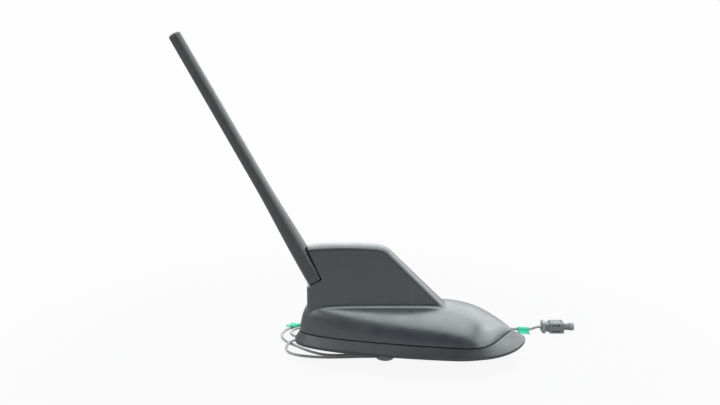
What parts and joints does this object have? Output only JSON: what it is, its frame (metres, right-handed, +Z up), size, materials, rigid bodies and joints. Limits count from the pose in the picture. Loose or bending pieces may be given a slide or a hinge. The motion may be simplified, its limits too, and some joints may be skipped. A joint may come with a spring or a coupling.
{
  "type": "roof aerial",
  "caption": "Fin-shaped car roof aerial with a screw-on rod mast, a rubber roof seal, a slotted fixing spigot and coaxial leads ending in push-in connectors.",
  "frame": {"origin": "on the fixing spigot's axis, at the level of the roof skin", "axes": "+X towards the nose of the aerial, +Z up from the roof, +Y to the far side"},
  "size_m": [0.2976, 0.1087, 0.2322],
  "materials": {
    "cover_plastic": "fine moulded grain",
    "seal_rubber": "matt",
    "cast_plate": "as die-cast",
    "screw_steel": "zinc plated",
    "board_laminate": "solder mask",
    "patch_ceramic": "fired ceramic with a silvered face",
    "tinned_steel": "tin plated",
    "brass": "turned",
    "mast_plastic": "matt moulded skin",
    "rod_glass_fibre": "pultruded",
    "copper_wire": "enamelled",
    "lead_sheath": "smooth sheath",
    "tag_tape": "plain tape",
    "plug_plastic": "moulded",
    "lock_plastic": "moulded"
  },
  "bodies": {
    "base": {"base_plate": "cast_plate", "board_screws": "screw_steel", "circuit_board": "board_laminate", "cover_screws": "screw_steel", "fin_antenna": "board_laminate", "fin_cover": "cover_plastic", "gps_lead": "lead_sheath", "gps_patch": "patch_ceramic", "gps_plug": "plug_plastic", "gps_plug_contact": "brass", "gps_plug_lock": "lock_plastic", "lead_grommet": "seal_rubber", "lead_tails": "lead_sheath", "mast_contact": "brass", "mast_socket": "brass", "radio_lead": "lead_sheath", "radio_plug": "plug_plastic", "radio_plug_contact": "brass", "radio_plug_lock": "lock_plastic", "radio_tag": "tag_tape", "roof_seal": "seal_rubber", "shield_can": "tinned_steel", "spigot_seal": "seal_rubber", "tail_tag": "tag_tape"},
    "washer": {"mast_seal": "seal_rubber"},
    "mast": {"mast_jacket": "mast_plastic", "mast_rod": "rod_glass_fibre", "mast_winding": "copper_wire", "mast_ferrule": "brass"}
  },
  "joints": [
    {"name": "mast_lift", "type": "slide", "parent": "base", "child": "washer", "axis": [-0.4756, 0, 0.8796], "range_m": [0, 0.0081]},
    {"name": "mast_turn", "type": "hinge", "parent": "washer", "child": "mast", "pos_m": [-0.0494, 0, 0.0442], "axis": [-0.4756, 0, 0.8796], "range_deg": [0, 3600]}
  ],
  "couplings": [
    {"joint": "mast_lift", "follows": "mast_turn", "m_per_rad": 0.00012732}
  ]
}
